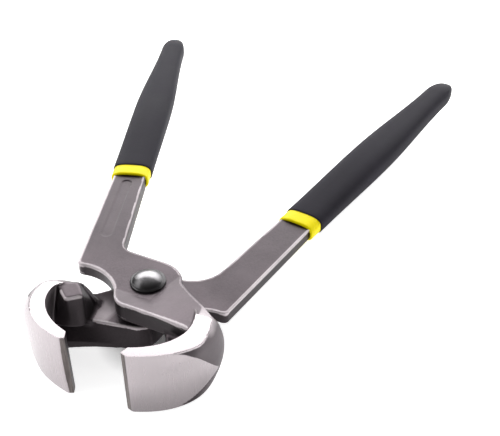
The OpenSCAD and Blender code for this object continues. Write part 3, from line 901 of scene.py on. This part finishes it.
class NIPPERS_OT_collars(bpy.types.Operator):
    """Builds the two yellow collars"""
    bl_idname = "nippers.collars"
    bl_label = "Collars"

    def execute(self, context):
        material = yellow_vinyl(context.scene.nippers_grip)
        outer = np.array(COLLAR_HALF)
        mouth_y, mouth = lip(COLLAR_Y + COLLAR_WALL / 2, outer, COLLAR_WALL, -1)
        body_y = np.linspace(COLLAR_Y + COLLAR_WALL, COLLAR_Y + COLLAR_BODY, COLLAR_ROWS)
        back_y, back = lip(COLLAR_Y + COLLAR_BACK, outer - 0.5, 0.8, 1)
        inner_y = np.array([COLLAR_Y + 8.0, COLLAR_Y + 1.0])
        stations = np.concatenate([mouth_y, body_y, back_y[::-1], inner_y])
        halves = np.concatenate([mouth, np.repeat(outer[None], COLLAR_ROWS, 0), back[::-1],
                                 np.repeat(outer[None] - COLLAR_WALL, 2, 0)])
        points = sleeve(stations, halves)
        faces = tube_faces(len(stations), SLEEVE_COLUMNS)
        # one more band of quads joins the last ring to the first
        last = (len(stations) - 1) * SLEEVE_COLUMNS
        closing = tube_faces(2, SLEEVE_COLUMNS)
        closing = np.where(closing < SLEEVE_COLUMNS, closing + last, closing - SLEEVE_COLUMNS)
        for side in ("upper", "lower"):
            piece = new_piece(f"{side}_collar_dip", turned(points, side == "lower"), [faces, closing],
                              side, material)
            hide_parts(f"{side}_grip_collar")
        return {"FINISHED"}


class NIPPERS_OT_grips(bpy.types.Operator):
    """Builds the two black grips"""
    bl_idname = "nippers.grips"
    bl_label = "Grips"

    def execute(self, context):
        settings = context.scene.nippers_grip
        material = black_vinyl(settings)
        start = COLLAR_Y + GRIP_START
        length = TIP_Y - start
        mouth = np.array(COLLAR_HALF) + GRIP_STEP
        peak = mouth + [settings.swell, settings.plump]
        tip = np.array(GRIP_TIP_HALF)
        lip_y, lip_half = lip(start + 0.5, mouth, GRIP_WALL, -1)
        # half sizes along the grip: from the mouth to its thickest place, then to the tip
        s = np.linspace(0.012, 1, GRIP_ROWS) ** 0.9
        tip_share = 1 - GRIP_TIP_ROUND / length
        rise = ease(s / GRIP_WIDEST)[:, None]
        fall = ease((s - GRIP_WIDEST) / (tip_share - GRIP_WIDEST))[:, None]
        half = np.where(s[:, None] < GRIP_WIDEST, mouth + rise * (peak - mouth),
                        peak + fall * (tip - peak))
        # the tip is rounded off as a quarter circle is
        u = np.clip((s - tip_share) / (1 - tip_share), 0, 1)
        u = np.sin(u * math.pi / 2)
        half = half * np.sqrt(np.clip(1 - u ** 2, 0, 1))[:, None]
        station = start + length * np.where(s < tip_share, s, tip_share + (1 - tip_share) * u)
        inner_y = np.array([start + GRIP_HOLLOW, start + 1.0])
        stations = np.concatenate([inner_y, lip_y, station[:-1]])
        halves = np.concatenate([np.repeat(mouth[None] - GRIP_WALL, 2, 0), lip_half, half[:-1]])
        points = sleeve(stations, halves)
        end = len(points)
        points = np.concatenate([points, handle_middle(np.array([TIP_Y, start + GRIP_HOLLOW]))])
        faces = [tube_faces(len(stations), SLEEVE_COLUMNS),
                 fan(SLEEVE_COLUMNS, end - SLEEVE_COLUMNS, end, False),
                 fan(SLEEVE_COLUMNS, 0, end + 1, True)]
        for side in ("upper", "lower"):
            piece = new_piece(f"{side}_grip_dip", turned(points, side == "lower"), faces, side,
                              material)
            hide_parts(f"{side}_grip")
        return {"FINISHED"}


class NIPPERS_OT_stage(bpy.types.Operator):
    """Adds the floor, the soft light and the camera at the photograph's angle"""
    bl_idname = "nippers.stage"
    bl_label = "Stage"

    def execute(self, context):
        settings = context.scene.nippers_stage
        scene = context.scene
        # floor under the jaws' rims
        mesh = bpy.data.meshes.new("floor")
        level = -HALF_W * MM
        mesh.from_pydata([(x * FLOOR_REACH, y * FLOOR_REACH, level)
                          for x, y in ((-1, -1), (1, -1), (1, 1), (-1, 1))], [], [(0, 1, 2, 3)])
        floor = bpy.data.objects.new("floor", mesh)
        scene.collection.objects.link(floor)
        m = Finish("floor_paper")
        mottle = m.noise(3, 2)
        # painted contact shadow: the floor gives no light close under the joint
        away = m.nodes.new("ShaderNodeVectorMath")
        away.operation = "DISTANCE"
        m.put(away.inputs[0], m.coords)
        m.put(away.inputs[1], (*PAINTED_SHADOW_PLACE, level))
        glow = m.spread(away.outputs["Value"], *PAINTED_SHADOW_RADII, 0.0, settings.glow)
        paper = m.mix(mottle, rgba(settings.floor, 0.995), rgba(settings.floor, 1.005))
        mesh.materials.append(m.finish(
            Base_Color=paper, Roughness=0.9, Specular_IOR_Level=0.1,
            Emission_Color=(1.0, 1.0, 1.0, 1.0), Emission_Strength=glow))
        # even light from all round
        world = bpy.data.worlds.new("studio")
        scene.world = world
        world.use_nodes = True
        background = world.node_tree.nodes["Background"]
        background.inputs["Color"].default_value = (1.0, 1.0, 1.0, 1.0)
        background.inputs["Strength"].default_value = settings.ambient
        # camera
        back = Vector((math.sin(CAMERA_AZ) * math.cos(CAMERA_EL),
                       -math.cos(CAMERA_AZ) * math.cos(CAMERA_EL), math.sin(CAMERA_EL)))
        right = Vector((math.cos(CAMERA_AZ), math.sin(CAMERA_AZ), 0))
        above = back.cross(right)
        c, s = math.cos(CAMERA_ROLL), math.sin(CAMERA_ROLL)
        axes = Matrix((c * right + s * above, -s * right + c * above, back)).transposed()
        data = bpy.data.cameras.new("camera")
        camera = bpy.data.objects.new("camera", data)
        scene.collection.objects.link(camera)
        far, aside, up = CAMERA_PLACE
        place = (back * far + right * aside + above * up) * MM
        camera.matrix_world = Matrix.Translation(place) @ axes.to_4x4()
        data.sensor_width = SENSOR
        data.lens = FOCAL_PX / PHOTO_W * SENSOR
        data.clip_start = 0.01
        scene.camera = camera
        # one wide soft box low behind and a smaller one at each side, all facing the joint
        for name, place, size, share in BOXES:
            light = bpy.data.lights.new(name, "AREA")
            light.shape = "RECTANGLE"
            light.size, light.size_y = size
            light.energy = settings.key * share * math.pi * size[0] * size[1]
            lamp = bpy.data.objects.new(name, light)
            scene.collection.objects.link(lamp)
            lamp.matrix_world = (Matrix.Translation(place)
                                 @ Vector(place).to_track_quat("Z", "Y").to_matrix().to_4x4())
        scene.view_settings.view_transform = "Standard"
        return {"FINISHED"}


class NIPPERS_PT_panel(bpy.types.Panel):
    """Lists the steps that build the nippers"""
    bl_idname = "NIPPERS_PT_panel"
    bl_label = "Nippers"
    bl_space_type = "VIEW_3D"
    bl_region_type = "UI"
    bl_category = "Nippers"

    def draw(self, context):
        for operator in STEPS:
            self.layout.operator(operator.bl_idname)


STEPS = (NIPPERS_OT_levers, NIPPERS_OT_rivet, NIPPERS_OT_collars, NIPPERS_OT_grips, NIPPERS_OT_stage)
SETTINGS = {"nippers_lever": LeverSettings, "nippers_rivet": RivetSettings,
            "nippers_grip": GripSettings, "nippers_stage": StageSettings}


def register():
    """Adds the classes and the scene's settings."""
    for kind in (*SETTINGS.values(), *STEPS, NIPPERS_PT_panel):
        bpy.utils.register_class(kind)
    for name, kind in SETTINGS.items():
        setattr(bpy.types.Scene, name, bpy.props.PointerProperty(type=kind))


def unregister():
    """Removes them again."""
    for name in SETTINGS:
        delattr(bpy.types.Scene, name)
    for kind in (*SETTINGS.values(), *STEPS, NIPPERS_PT_panel):
        bpy.utils.unregister_class(kind)


def main():
    """Builds every piece in order."""
    register()
    bpy.ops.nippers.levers()
    bpy.ops.nippers.rivet()
    bpy.ops.nippers.collars()
    bpy.ops.nippers.grips()
    bpy.ops.nippers.stage()


if __name__ == "__main__":
    main()
